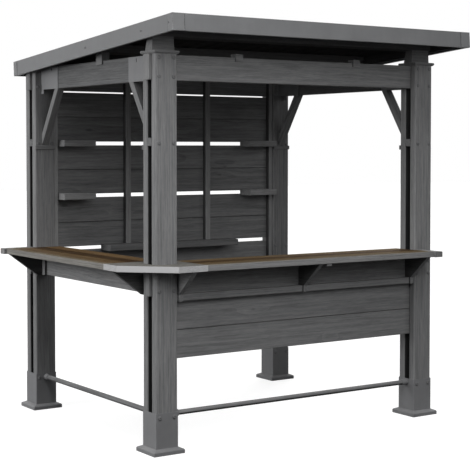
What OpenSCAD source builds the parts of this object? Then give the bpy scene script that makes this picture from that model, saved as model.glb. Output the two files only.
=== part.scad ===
// Garden bar gazebo: four split posts, through beams, a bar counter round two sides,
// a slatted back wall with shelves and a mono-pitch metal roof. Millimetres, +Z up.

/* [Bay] */
// Pitch of the posts along the front
bay_x = 1920; // [1700:10:2400]
// Pitch of the posts from front to back
bay_y = 1550; // [1350:10:2000]

/* [Posts] */
// Width of a post along the front
post_w = 140; // [120:1:170]
// Thickness of each of the two boards of a post
post_board = 51; // [40:1:60]
// Gap between the two boards of a post
post_slot = 42; // [34:1:48]
// Height of the post tops and of the beam tops
post_top = 2249; // [2150:1:2400]
// Clearance of a board in the slot, on each side
slot_fit = 0.2; // [0.1:0.1:0.5]
// Eased edges of the post boards
post_ease = 6; // [2:0.5:10]
// Height of the packing blocks in the slots
spacer_h = 46; // [30:1:70]
// Depth of the packing blocks' lower face under the brace seats
spacer_set = 6; // [0:1:30]
// Length by which the panel boards reach into the slots
slot_lap = 60; // [40:1:70]

/* [Post feet] */
// Overhang of the plinth round the post shoe
plinth_lap = 28; // [15:1:45]
// Height of the plinth's upright side
plinth_h = 20; // [12:1:50]
// Eased upper edge of the plinth's side
plinth_ease = 5; // [2:0.5:8]
// Rise of the plinth's sloping top
plinth_slope = 10; // [5:1:20]
// Height of the shoe round the foot of a post
shoe_h = 200; // [175:1:260]
// Wall of the shoe
shoe_wall = 2; // [1.5:0.5:4]
// Eased upright edges of the shoe
shoe_ease = 1.5; // [0.5:0.5:2]
// Clearance between the shoe and the post boards
shoe_fit = 0.2; // [0.1:0.1:0.5]

/* [Post heads] */
// Thickness of the cap on a front post
cap_t = 20; // [12:1:30]
// Overhang of the cap
cap_lap = 10; // [5:1:20]
// Bevel under the overhang of the cap
cap_bevel = 8; // [4:0.5:10]
// Eased upper edge of the cap
cap_ease = 3; // [1:0.5:4]
// Height of the riser at the middle of a front post
riser_h = 77; // [60:1:120]
// Width of the riser's foot beyond the post, on each side
riser_lap = 3; // [0:1:6]
// Depth of the riser's foot
riser_d = 75; // [50:1:100]
// Draw-in of the riser's sides at its head
riser_draw = 4; // [0:1:10]
// Lean of the riser's back at its head
riser_lean = 16; // [0:1:25]

/* [Beams and braces] */
// Height of the beams
beam_h = 144; // [120:1:180]
// Eased edges of the beams, rails and other timbers
timber_ease = 3; // [1:0.5:5]
// Width of the blocks that cover the ends of the beams and rails
end_block_w = 58; // [48:1:80]
// Thickness of the end blocks
end_block_t = 18; // [10:1:30]
// Length of the plates at the ends of the side beams
plate_l = 242; // [180:1:300]
// Thickness of the plates
plate_t = 4; // [3:0.5:10]
// Distance of the slot in a plate from the post
plate_slot_x = 150; // [80:1:170]
// Length of the slot in a plate
plate_slot_l = 22; // [12:1:30]
// Width of the slot in a plate
plate_slot_w = 6; // [4:0.5:9]
// Depth of the slot in a plate under its upper edge
plate_slot_z = 10; // [8:1:40]
// Width of the tab under a plate, at the post
plate_tab_w = 34; // [20:1:50]
// Height of the tab
plate_tab_h = 29; // [15:1:40]
// Run of a knee brace along the side beam
brace_run = 242; // [180:1:300]
// Drop of a knee brace down the post
brace_drop = 364; // [300:1:440]
// Level cut of a knee brace where it meets the beam
brace_cut = 50; // [36:1:60]
// Thickness of a knee brace
brace_t = 44; // [28:1:60]
// Height of the seat strip under a knee brace
seat_h = 28; // [18:1:40]
// Thickness of the seat strip
seat_t = 10; // [6:1:16]

/* [Rails and front panel] */
// Height of the underside of the counter
counter_z = 1036; // [950:1:1120]
// Height of the rails under the counter
rail_h = 144; // [120:1:170]
// Height of the lower edge of the front panel
panel_z = 527; // [450:1:650]
// Height of one board of the front panel
panel_board_h = 161; // [130:1:180]
// Open joint between two boards
board_joint = 3; // [2:0.5:6]
// Eased edges of the panel boards
board_ease = 2.5; // [1:0.5:4]
// Width of the tongue between two boards
tongue_w = 14; // [8:0.5:16]
// Depth of the tongue in the upper board
tongue_h = 8; // [5:0.5:12]
// Clearance round the tongue
tongue_fit = 0.4; // [0.2:0.1:0.8]
// Height of the ledge over the front panel
ledge_h = 39; // [25:1:50]
// Depth of the ledge in front of the rail
ledge_d = 41; // [30:1:48]
// Height by which the ledge laps the rail
ledge_lap = 4; // [0:1:12]

/* [Back wall] */
// Open gap under each panel of the back wall
wall_gap = 25; // [12:1:40]
// Open gap between the wall and the back beam
wall_top_gap = 10; // [5:1:30]
// Width of the uprights on the inner face of the wall
batten_w = 40; // [30:1:55]
// Depth of the uprights
batten_d = 40; // [30:1:48]
// Width of the uprights beside the posts
end_batten_w = 30; // [20:1:40]
// Distance between the two middle uprights
batten_pitch = 650; // [500:1:800]
// Depth of the shelves
shelf_d = 136; // [100:1:180]
// Thickness of the shelves
shelf_t = 42; // [32:1:50]
// Length of a corner shelf
corner_shelf_l = 232; // [160:1:300]
// Length of the long shelf
long_shelf_l = 1040; // [850:1:1200]

/* [Counter] */
// Thickness of the counter
counter_t = 35; // [28:1:45]
// Reach of the front counter in front of the posts
front_reach = 165; // [140:1:220]
// Reach of the left counter outside the posts
left_reach = 200; // [160:1:240]
// Reach of the counters inside the posts
inner_reach = 34; // [20:1:60]
// Each leg of the clipped corner
corner_clip = 250; // [180:1:280]
// Length of the corner piece beyond the post, along both counters
corner_l = 100; // [70:1:140]
// Width of the border strip along the outer edge
edge_w = 46; // [35:1:60]
// Width of the board that closes the end of a counter
end_w = 60; // [35:1:66]
// Reach of the end board beyond the border strip
end_proud = 18; // [5:1:30]
// Eased edges of the counter's boards
counter_ease = 2; // [1:0.5:4]
// Planks across a counter
plank_n = 3; // [2:1:4]
// Gap between planks
plank_gap = 4; // [2:0.5:8]
// Clearance of the counter round the posts
counter_fit = 0.3; // [0.2:0.1:1]
// Thickness of a counter bracket
bracket_t = 28; // [20:1:40]
// Gap between the outer front brackets and the posts
bracket_gap = 9; // [2:1:20]
// Distance from the tip of a bracket to the counter's outer edge
bracket_set = 5; // [3:1:30]
// Thickness of the cleats behind the left brackets
cleat_t = 18; // [10:1:24]
// Width of the cleats
cleat_w = 66; // [45:1:80]
// Width of the joint batten under the front counter
joint_w = 35; // [25:1:50]
// Thickness of the joint batten
joint_t = 14; // [10:1:20]
// Distance from the middle bracket to the joint batten
joint_set = 28; // [10:1:60]

/* [Footrests] */
// Diameter of a footrest bar
foot_d = 30; // [22:1:34]
// Height of the middle of a footrest bar
foot_z = 212; // [190:1:215]
// Length of the sockets that hold the bars
socket_l = 42; // [25:1:60]
// Wall of the sockets
socket_wall = 4; // [2:0.5:6]
// Clearance of a bar in its socket
socket_fit = 0.3; // [0.2:0.1:0.5]

/* [Roof] */
// Roof beyond the front posts
front_overhang = 275; // [200:1:350]
// Roof beyond the back posts
back_overhang = 57; // [52:1:120]
// Roof beyond the left and right posts
side_overhang = 58; // [50:1:120]
// Height of the fascia
fascia_h = 95; // [84:1:130]
// Thickness of the fascia sheet
fascia_t = 3; // [2:0.5:4]
// Width of the fascia's top flange
flange_w = 36; // [25:1:50]
// Width of the fascia's lower lip
lip_w = 18; // [10:1:25]
// Length of a corner cap along the front and back
corner_cap_x = 72; // [50:1:90]
// Length of a corner cap along the sides
corner_cap_y = 46; // [35:1:70]
// Thickness of a corner cap
corner_cap_t = 2; // [1.5:0.5:4]
// Height of the roof rails
roof_rail_h = 52; // [40:1:56]
// Width of the rim and of the rafters
rafter_w = 38; // [28:1:42]
// Height of the packing rail on the back posts
back_rail_h = 32; // [24:1:40]
// Width of the packing rail on the back posts
back_rail_w = 60; // [45:1:80]
// Pitch of the ribs of the roof sheet
rib_pitch = 118; // [90:1:150]
// Height of the ribs
rib_h = 18; // [12:1:20]
// Width of a rib's crown
rib_crown = 24; // [16:1:30]
// Run of a rib's sloping side
rib_slope = 14; // [8:1:18]
// Thickness of the roof sheet
sheet_t = 2; // [1.5:0.5:3]
// Clearance of the roof sheet inside the fascia
sheet_fit = 0.3; // [0.2:0.1:1]
// Width of the struts and clips on the beams
strut_w = 75; // [50:1:90]
// Thickness of the lap of a strut or clip
strut_lap_t = 11; // [8:1:14]
// Height of the lap over the face of the beam
strut_lap_h = 24; // [15:1:40]
// Width of a beam clip
clip_w = 52; // [40:1:70]
// Distance between the two beam clips
clip_pitch = 878; // [500:1:1200]
// Rise of a beam clip over the beam
clip_rise = 20; // [12:1:30]

/* [Hidden] */
post_d = 2 * post_board + post_slot;
post_cx = post_w / 2;
post_cy = post_d / 2;
board_t = post_slot - 2 * slot_fit;
board_y = post_board + slot_fit;
board_x = post_cx - board_t / 2;
plinth_top = plinth_h + plinth_ease + plinth_slope;
shoe_top = plinth_top + shoe_h;
shoe_out = shoe_wall + shoe_fit;
beam_z = post_top - beam_h;
rail_z = counter_z - rail_h;
ledge_z = rail_z - ledge_h + ledge_lap;
ledge_y = board_y - ledge_d;
seat_top = beam_z - brace_drop;
spacer_z = seat_top - spacer_set;
right_x = bay_x + post_w;
back_y = bay_y + post_d;
panel_x0 = post_w - slot_lap;
panel_x1 = bay_x + slot_lap;

// The wall: three panels of two boards between the back rail and the back beam
wall_panels = 3;
wall_pitch = (beam_z - wall_top_gap - counter_z) / wall_panels;
wall_board_h = (wall_pitch - wall_gap - board_joint) / 2;
wall_y = bay_y + board_y;
function gap_z(i) = counter_z + i * wall_pitch + wall_gap / 2;

// The counters
counter_top = counter_z + counter_t;
corner_x = post_w + corner_l;
corner_y = post_d + corner_l;
front_in = post_d + inner_reach;
left_in = post_w + inner_reach;
counter_x1 = bay_x + post_cx;
counter_y1 = bay_y + post_cy;
front_plank_w = (front_in + front_reach - edge_w - plank_n * plank_gap) / plank_n;
left_plank_w = (left_in + left_reach - edge_w - plank_n * plank_gap) / plank_n;

// The roof plane: from the rails on the front risers down to the packing rail at the back
sheet_drop = fascia_t + rib_h + sheet_t + sheet_fit;
rail_drop = sheet_drop + roof_rail_h;
roof_rise = cap_t + riser_h + roof_rail_h - back_rail_h;
roof_pitch = atan(roof_rise / bay_y);
roof_front_z = post_top + cap_t + riser_h + roof_rail_h + sheet_drop / cos(roof_pitch)
             + (front_overhang + post_cy) * tan(roof_pitch);
roof_w = right_x + 2 * side_overhang;
roof_l = (front_overhang + back_y + back_overhang) / cos(roof_pitch);
sheet_w = roof_w - 2 * (fascia_t + sheet_fit);
rib_n = floor((sheet_w - rib_crown - 2 * rib_slope) / rib_pitch);
rib_x0 = (sheet_w - rib_n * rib_pitch) / 2;
mid_y = (back_y + back_overhang - front_overhang) / 2;
over = 400;

// The box of the whole gazebo, for the origin at the middle of its base
box_x0 = min(-left_reach - end_proud, -side_overhang - corner_cap_t);
box_x1 = right_x + side_overhang + corner_cap_t;
box_y0 = -front_overhang - corner_cap_t * cos(roof_pitch) - fascia_h * sin(roof_pitch);
box_y1 = -front_overhang + (roof_l + corner_cap_t) * cos(roof_pitch);

wood = "#6b6d70";
shade = "#5c5e61";
metal = "#75787c";
plank = "#5f4e3c";

// Moves the build frame, whose zero is the front left post's outer corner, to the base's middle
module place() {
    translate([-(box_x0 + box_x1) / 2, -(box_y0 + box_y1) / 2, 0]) children();
}

module at_post(i, j) {
    translate([i * bay_x, j * bay_y, 0]) children();
}

module at_posts() {
    for (i = [0, 1], j = [0, 1]) at_post(i, j) children();
}

// A block between two corners
module block(a, b) {
    translate(a) cube(b - a);
}

// An outline in the upright plane across X, with the thickness t from x
module across_x(x, t) {
    translate([x, 0, 0]) rotate([90, 0, 90]) linear_extrude(t) children();
}

// An outline in the upright plane across Y, with the thickness t from y
module across_y(y, t) {
    translate([0, y + t, 0]) rotate([90, 0, 0]) linear_extrude(t) children();
}

// A rectangle between two corners, with its corners cut back by c
module eased(a, b, c) {
    polygon([[a[0] + c, a[1]], [b[0] - c, a[1]], [b[0], a[1] + c], [b[0], b[1] - c],
        [b[0] - c, b[1]], [a[0] + c, b[1]], [a[0], b[1] - c], [a[0], a[1] + c]]);
}

// A board along X, Y or Z between two corners, with eased long edges
module board_along_x(a, b, c) {
    across_x(a[0], b[0] - a[0]) eased([a[1], a[2]], [b[1], b[2]], c);
}

module board_along_y(a, b, c) {
    across_y(a[1], b[1] - a[1]) eased([a[0], a[2]], [b[0], b[2]], c);
}

module board_along_z(a, b, c) {
    translate([0, 0, a[2]]) linear_extrude(b[2] - a[2]) eased([a[0], a[1]], [b[0], b[1]], c);
}

// The frame of the roof plane: zero at the front left top edge, +Y down the slope
module on_roof() {
    translate([-side_overhang, -front_overhang, roof_front_z]) rotate([-roof_pitch, 0, 0]) children();
}

// Distance down the slope of a point at the depth y, w below the roof plane
function roof_v(y, w) = (y + front_overhang + w * sin(roof_pitch)) / cos(roof_pitch);

// All that lies over a plane w below the roof plane
module over_roof(w) {
    on_roof() block([-over, -over, -w], [roof_w + over, roof_l + over, over]);
}

module post() {
    for (y = [0, post_board + post_slot])
        board_along_z([0, y, plinth_top], [post_w, y + post_board, post_top], post_ease);
}

module post_front_left() { color(wood) place() at_post(0, 0) post(); }
module post_front_right() { color(wood) place() at_post(1, 0) post(); }
module post_back_left() { color(wood) place() at_post(0, 1) post(); }
module post_back_right() { color(wood) place() at_post(1, 1) post(); }

// A packing block over the width x0 to x1 of a post
module spacer(x0, x1) {
    block([x0, board_y, spacer_z], [x1, board_y + board_t, spacer_z + spacer_h]);
}

// The blocks of the front posts run right through, those of the back posts stop at the wall
module post_spacers() {
    color(shade) place() {
        for (i = [0, 1]) at_post(i, 0) spacer(slot_fit, post_w - slot_fit);
        at_post(0, 1) spacer(slot_fit, post_w - slot_lap - slot_fit);
        at_post(1, 1) spacer(slot_lap + slot_fit, post_w - slot_fit);
    }
}

module shoe() {
    difference() {
        board_along_z([-shoe_out, -shoe_out, plinth_top],
            [post_w + shoe_out, post_d + shoe_out, shoe_top], shoe_ease);
        block([-shoe_fit, -shoe_fit, 0], [post_w + shoe_fit, post_d + shoe_fit, post_top]);
    }
}

module post_shoes() { color(wood) place() at_posts() shoe(); }

// The side view of a plinth of the width w, with its upright side, eased edge and sloping top
module plinth_side(w) {
    edge_z = plinth_h + plinth_ease;
    polygon([[0, 0], [w, 0], [w, plinth_h], [w - plinth_ease, edge_z], [w - plinth_lap, plinth_top],
        [plinth_lap, plinth_top], [plinth_ease, edge_z], [0, plinth_h]]);
}

module plinth() {
    lap = shoe_out + plinth_lap;
    rim_w = post_w + 2 * lap;
    rim_d = post_d + 2 * lap;
    intersection() {
        across_x(-lap, rim_w) translate([-lap, 0]) plinth_side(rim_d);
        across_y(-lap, rim_d) translate([-lap, 0]) plinth_side(rim_w);
    }
}

module post_plinths() { color(wood) place() at_posts() plinth(); }

// The side view of a cap of the width w, bevelled under its overhang
module cap_side(w) {
    polygon([[cap_bevel, 0], [w - cap_bevel, 0], [w, cap_bevel], [w, cap_t - cap_ease],
        [w - cap_ease, cap_t], [cap_ease, cap_t], [0, cap_t - cap_ease], [0, cap_bevel]]);
}

module cap() {
    cap_w = post_w + 2 * cap_lap;
    cap_d = post_d + 2 * cap_lap;
    translate([-cap_lap, -cap_lap, post_top]) intersection() {
        across_x(0, cap_w) cap_side(cap_d);
        across_y(0, cap_d) cap_side(cap_w);
    }
}

module post_caps() { color(wood) place() for (i = [0, 1]) at_post(i, 0) cap(); }

// A riser block of twice its height: drawn in at both sides, with a leaning back
module riser() {
    y0 = post_cy - riser_d / 2;
    y1 = y0 + riser_d;
    x0 = -riser_lap;
    x1 = post_w + riser_lap;
    top = 2 * riser_h;
    translate([0, 0, post_top + cap_t]) intersection() {
        across_x(x0, x1 - x0) polygon([[y0, 0], [y1, 0], [y1 - 2 * riser_lean, top], [y0, top]]);
        across_y(y0, riser_d)
            polygon([[x0, 0], [x1, 0], [x1 - 2 * riser_draw, top], [x0 + 2 * riser_draw, top]]);
    }
}

// The risers, cut off under the roof rail
module roof_risers() {
    color(wood) place() difference() {
        for (i = [0, 1]) at_post(i, 0) riser();
        over_roof(rail_drop);
    }
}

module cross_beam(j, z0, z1) {
    at_post(0, j) board_along_x([0, board_y, z0], [right_x, board_y + board_t, z1], timber_ease);
}

module side_beam(i, z0, z1) {
    at_post(i, 0) board_along_y([board_x, post_d, z0], [board_x + board_t, bay_y, z1], timber_ease);
}

module front_beam() { color(wood) place() cross_beam(0, beam_z, post_top); }
module back_beam() { color(wood) place() cross_beam(1, beam_z, post_top); }
module left_beam() { color(wood) place() side_beam(0, beam_z, post_top); }
module right_beam() { color(wood) place() side_beam(1, beam_z, post_top); }

// Blocks over the ends of the through beams and rails, on the outer faces of the posts
module beam_end_blocks() {
    color(wood) place() for (x = [-end_block_t, right_x], j = [0, 1], z = [beam_z, rail_z])
        at_post(0, j) board_along_x([x, post_cy - end_block_w / 2, z],
            [x + end_block_t, post_cy + end_block_w / 2, z + (z == beam_z ? beam_h : rail_h)], timber_ease);
}

// A plate with a slot near its upper edge, at the post face y = 0; an outer one has a tab under it
module end_plate(outer) {
    difference() {
        union() {
            block([0, 0, beam_z], [plate_t, plate_l, post_top]);
            if (outer) block([0, 0, beam_z - plate_tab_h], [plate_t, plate_tab_w, beam_z]);
        }
        translate([0, plate_slot_x - plate_slot_w / 2, post_top - plate_slot_z - plate_slot_l])
            block([-plate_t, 0, 0], [2 * plate_t, plate_slot_w, plate_slot_l]);
    }
}

// The plates on the faces of both side beams; k = 0 is the left face, k = 1 the right one
module beam_end_plates() {
    color(shade) place() for (i = [0, 1], k = [0, 1]) at_post(i, 0) {
        x = k == 0 ? board_x - plate_t : board_x + board_t;
        translate([x, post_d, 0]) end_plate(k == i);
        translate([x, bay_y, 0]) mirror([0, 1, 0]) end_plate(k == i);
    }
}

// A strut that stands on the left beam and laps its outer face
module strut() {
    y0 = mid_y - strut_w / 2;
    y1 = mid_y + strut_w / 2;
    block([board_x - strut_lap_t, y0, post_top], [board_x + board_t, y1, post_top + over]);
    block([board_x - strut_lap_t, y0, post_top - strut_lap_h], [board_x, y1, post_top]);
}

// The struts of both side beams, cut off under the middle roof rail
module roof_struts() {
    color(wood) place() difference() {
        union() {
            strut();
            translate([right_x, 0, 0]) mirror([1, 0, 0]) strut();
        }
        over_roof(rail_drop);
    }
}

// Clips that saddle the front beam on both sides of the bay's middle
module beam_clips() {
    color(wood) place() for (k = [-1, 1]) translate([(right_x + k * clip_pitch - clip_w) / 2, 0, 0]) {
        block([0, board_y - strut_lap_t, post_top], [clip_w, board_y + board_t, post_top + clip_rise]);
        block([0, board_y - strut_lap_t, post_top - strut_lap_h], [clip_w, board_y, post_top]);
    }
}

// A brace from the post face at y = 0 up to the beam at y = brace_run
module knee_brace() {
    rise = brace_cut * brace_drop / brace_run;
    across_x(post_cx - brace_t / 2, brace_t) translate([0, seat_top])
        polygon([[0, 0], [brace_run, brace_drop], [brace_run - brace_cut, brace_drop], [0, rise]]);
}

module knee_braces(i) {
    at_post(i, 0) {
        translate([0, post_d, 0]) knee_brace();
        translate([0, bay_y, 0]) mirror([0, 1, 0]) knee_brace();
    }
}

module left_knee_braces() { color(wood) place() knee_braces(0); }
module right_knee_braces() { color(wood) place() knee_braces(1); }

module brace_seats() {
    color(wood) place() for (i = [0, 1], y = [post_d, bay_y - seat_t])
        at_post(i, 0) board_along_x([0, y, seat_top - seat_h], [post_w, y + seat_t, seat_top], timber_ease);
}

module front_rail() { color(wood) place() cross_beam(0, rail_z, counter_z); }
module back_rail() { color(wood) place() cross_beam(1, rail_z, counter_z); }
module left_rail() { color(wood) place() side_beam(0, rail_z, counter_z); }

module front_ledge() {
    color(wood) place()
        board_along_x([post_w, ledge_y, ledge_z], [bay_x, board_y, ledge_z + ledge_h], timber_ease);
}

// A panel board between two posts, from slot to slot, its front face at y
module panel_board(y, z0, z1) {
    board_along_x([panel_x0, y, z0], [panel_x1, y + board_t, z1], board_ease);
}

// Two boards, one over the other: the lower one's tongue, on its upper edge at joint_z, stands
// in the upper one's groove
module board_pair(y, z0, joint_z, z1) {
    upper_z = joint_z + board_joint;
    tongue_y = y + (board_t - tongue_w) / 2;
    panel_board(y, z0, joint_z);
    block([panel_x0, tongue_y, joint_z - tongue_h], [panel_x1, tongue_y + tongue_w, upper_z + tongue_h]);
    difference() {
        panel_board(y, upper_z, z1);
        block([0, tongue_y - tongue_fit, 0],
            [right_x, tongue_y + tongue_w + tongue_fit, upper_z + tongue_h + tongue_fit]);
    }
}

module front_panel() {
    color(wood) place() board_pair(board_y, panel_z, panel_z + panel_board_h, rail_z);
}

module wall_panel(i) {
    z0 = counter_z + wall_gap + i * wall_pitch;
    board_pair(wall_y, z0, z0 + wall_board_h, counter_z + (i + 1) * wall_pitch);
}

module wall_panel_lower() { color(wood) place() wall_panel(0); }
module wall_panel_middle() { color(wood) place() wall_panel(1); }
module wall_panel_upper() { color(wood) place() wall_panel(2); }

// An upright on the inner face of the wall, from z0 to the post tops
module batten(x, w, z0) {
    board_along_z([x, wall_y - batten_d, z0], [x + w, wall_y, post_top], timber_ease);
}

module wall_battens() {
    long_top = gap_z(0) + shelf_t / 2;
    color(wood) place() {
        for (k = [-1, 1]) batten((right_x + k * batten_pitch - batten_w) / 2, batten_w, long_top);
        for (x = [post_w, bay_x - end_batten_w]) batten(x, end_batten_w, rail_z);
    }
}

// A shelf at the height of the wall's gap i
module shelf(x0, x1, i) {
    z0 = gap_z(i) - shelf_t / 2;
    board_along_x([x0, wall_y - shelf_d, z0], [x1, wall_y, z0 + shelf_t], timber_ease);
}

module corner_shelves() {
    left_x = post_w + end_batten_w;
    right_end = bay_x - end_batten_w;
    color(wood) place() for (i = [1, 2]) {
        shelf(left_x, left_x + corner_shelf_l, i);
        shelf(right_end - corner_shelf_l, right_end, i);
    }
}

module long_shelf() {
    color(wood) place() shelf(right_x / 2 - long_shelf_l / 2, right_x / 2 + long_shelf_l / 2, 0);
}

// The room that a post takes in the counter
module post_room() {
    at_posts() block([-counter_fit, -counter_fit, 0], [post_w + counter_fit, post_d + counter_fit, post_top]);
}

// A board of the counter along X or Y between two corners in plan
module counter_board_x(a, b) {
    board_along_x([a[0], a[1], counter_z], [b[0], b[1], counter_top], counter_ease);
}

module counter_board_y(a, b) {
    board_along_y([a[0], a[1], counter_z], [b[0], b[1], counter_top], counter_ease);
}

module counter_corner() {
    color(metal) place() difference() {
        translate([0, 0, counter_z]) linear_extrude(counter_t) polygon([
            [-left_reach, corner_clip - front_reach], [corner_clip - left_reach, -front_reach],
            [corner_x, -front_reach], [corner_x, front_in], [left_in, front_in],
            [left_in, corner_y], [-left_reach, corner_y]]);
        post_room();
    }
}

module front_counter_edge() {
    color(metal) place()
        counter_board_x([corner_x, -front_reach], [counter_x1 - end_w, -front_reach + edge_w]);
}

module left_counter_edge() {
    color(metal) place()
        counter_board_y([-left_reach, corner_y], [-left_reach + edge_w, counter_y1 - end_w]);
}

module front_counter_planks() {
    color(plank) place() difference() {
        for (k = [0 : plank_n - 1]) {
            y = -front_reach + edge_w + plank_gap + k * (front_plank_w + plank_gap);
            x1 = y < 0 ? counter_x1 - end_w : bay_x - counter_fit;
            counter_board_x([corner_x, y], [x1, y + front_plank_w]);
        }
        post_room();
    }
}

module left_counter_planks() {
    color(plank) place() difference() {
        for (k = [0 : plank_n - 1]) {
            x = -left_reach + edge_w + plank_gap + k * (left_plank_w + plank_gap);
            y1 = x < 0 ? counter_y1 - end_w : bay_y - counter_fit;
            counter_board_y([x, corner_y], [x + left_plank_w, y1]);
        }
        post_room();
    }
}

module counter_ends() {
    color(metal) place() {
        counter_board_y([counter_x1 - end_w, -front_reach - end_proud], [counter_x1, -counter_fit]);
        counter_board_x([-left_reach - end_proud, counter_y1 - end_w], [-counter_fit, counter_y1]);
    }
}

// A gusset under the front counter that stands on the ledge and hooks over its edge
module front_bracket(x) {
    across_x(x, bracket_t) polygon([[board_y, counter_z], [bracket_set - front_reach, counter_z],
        [0, ledge_z + ledge_h], [0, ledge_z], [ledge_y, ledge_z], [ledge_y, ledge_z + ledge_h],
        [board_y, ledge_z + ledge_h]]);
}

module front_counter_brackets() {
    outer_x = post_w + bracket_gap;
    color(shade) place() for (x = [outer_x, right_x / 2, right_x - outer_x - bracket_t]) front_bracket(x);
}

// The batten under the joint of the front counter, beside the middle bracket
module counter_joint() {
    x = right_x / 2 + bracket_t + joint_set;
    color(shade) place()
        block([x, bracket_set - front_reach, counter_z - joint_t], [x + joint_w, board_y, counter_z]);
}

module left_bracket(y) {
    x0 = board_x - cleat_t;
    across_y(y, bracket_t)
        polygon([[x0, counter_z], [bracket_set - left_reach, counter_z], [0, rail_z], [x0, rail_z]]);
}

module left_counter_brackets() {
    color(shade) place() for (y = [post_d, bay_y - bracket_t]) left_bracket(y);
}

module left_rail_cleats() {
    color(shade) place() for (y = [post_d, bay_y - cleat_w])
        block([board_x - cleat_t, y, rail_z], [board_x, y + cleat_w, counter_z]);
}

// A socket for the end of a bar, from z = 0 up
module socket() {
    bore_d = foot_d + 2 * socket_fit;
    difference() {
        cylinder(d = bore_d + 2 * socket_wall, h = socket_l, $fn = 32);
        translate([0, 0, -socket_l]) cylinder(d = bore_d, h = 3 * socket_l, $fn = 32);
    }
}

module footrest_sockets() {
    color(wood) place() {
        translate([post_w + shoe_out, post_cy, foot_z]) rotate([0, 90, 0]) socket();
        translate([bay_x - shoe_out, post_cy, foot_z]) rotate([0, -90, 0]) socket();
        translate([post_cx, post_d + shoe_out, foot_z]) rotate([-90, 0, 0]) socket();
        translate([post_cx, bay_y - shoe_out, foot_z]) rotate([90, 0, 0]) socket();
    }
}

module front_footrest() {
    color(wood) place() translate([post_w + shoe_out, post_cy, foot_z]) rotate([0, 90, 0])
        cylinder(d = foot_d, h = bay_x - post_w - 2 * shoe_out, $fn = 32);
}

module left_footrest() {
    color(wood) place() translate([post_cx, post_d + shoe_out, foot_z]) rotate([-90, 0, 0])
        cylinder(d = foot_d, h = bay_y - post_d - 2 * shoe_out, $fn = 32);
}

// The folded fascia's profile: face, top flange and lower lip
module fascia_profile() {
    polygon([[0, 0], [flange_w, 0], [flange_w, -fascia_t], [fascia_t, -fascia_t],
        [fascia_t, fascia_t - fascia_h], [lip_w, fascia_t - fascia_h], [lip_w, -fascia_h], [0, -fascia_h]]);
}

// A length of fascia with mitred ends, its face at y = 0
module fascia(l) {
    intersection() {
        across_x(0, l) fascia_profile();
        translate([0, 0, -2 * fascia_h]) linear_extrude(4 * fascia_h)
            polygon([[0, 0], [l, 0], [l - flange_w, flange_w], [flange_w, flange_w]]);
    }
}

// A length of fascia on one edge of the roof, turned about its first corner
module edge_fascia(corner, turn, l) {
    color(metal) place() on_roof() translate(corner) rotate(turn) fascia(l);
}

module front_fascia() { edge_fascia([0, 0, 0], 0, roof_w); }
module back_fascia() { edge_fascia([roof_w, roof_l, 0], 180, roof_w); }
module left_fascia() { edge_fascia([0, roof_l, 0], -90, roof_l); }
module right_fascia() { edge_fascia([roof_w, 0, 0], 90, roof_l); }

// An angle that covers one mitred corner of the fascia
module corner_cap() {
    translate([0, 0, -fascia_h]) linear_extrude(fascia_h) polygon([
        [-corner_cap_t, -corner_cap_t], [corner_cap_x, -corner_cap_t], [corner_cap_x, 0],
        [0, 0], [0, corner_cap_y], [-corner_cap_t, corner_cap_y]]);
}

module fascia_corners() {
    color(metal) place() on_roof() for (i = [0, 1], j = [0, 1])
        translate([i * roof_w, j * roof_l, 0]) mirror([i, 0, 0]) mirror([0, j, 0]) corner_cap();
}

module roof_rafters() {
    color(shade) place() on_roof() for (x = [fascia_t, roof_w - fascia_t - rafter_w])
        block([x, fascia_t + rafter_w, -rail_drop],
            [x + rafter_w, roof_l - fascia_t - rafter_w, -sheet_drop]);
}

module roof_rails() {
    x0 = fascia_t + rafter_w;
    x1 = roof_w - x0;
    front_v = roof_v(post_cy, rail_drop);
    mid_v = roof_v(mid_y, rail_drop);
    color(shade) place() {
        on_roof() {
            for (v = [fascia_t, roof_l - fascia_t - rafter_w])
                block([fascia_t, v, -rail_drop], [roof_w - fascia_t, v + rafter_w, -sheet_drop]);
            block([x0, front_v - riser_d / 2, -rail_drop], [x1, front_v + riser_d / 2, -sheet_drop]);
            block([x0, mid_v - strut_w / 2, -rail_drop], [x1, mid_v + strut_w / 2, -sheet_drop]);
        }
        difference() {
            at_post(0, 1) block([fascia_t + rafter_w - side_overhang, post_cy - back_rail_w / 2, post_top],
                [right_x + side_overhang - fascia_t - rafter_w, post_cy + back_rail_w / 2, post_top + over]);
            over_roof(sheet_drop);
        }
    }
}

// The top line of the ribbed sheet, as points across the roof
rib_line = concat([[0, 0]],
    [for (i = [0 : rib_n]) let (x = rib_x0 + i * rib_pitch) each
        [[x - rib_crown / 2 - rib_slope, 0], [x - rib_crown / 2, rib_h],
         [x + rib_crown / 2, rib_h], [x + rib_crown / 2 + rib_slope, 0]]],
    [[sheet_w, 0]]);

module roof_sheet() {
    l = roof_l - 2 * (fascia_t + sheet_fit);
    under = [for (i = [len(rib_line) - 1 : -1 : 0]) rib_line[i] - [0, sheet_t]];
    color(metal) place() on_roof()
        translate([fascia_t + sheet_fit, 0, sheet_t - sheet_drop]) across_y(fascia_t + sheet_fit, l)
            polygon(concat(rib_line, under));
}

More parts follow.
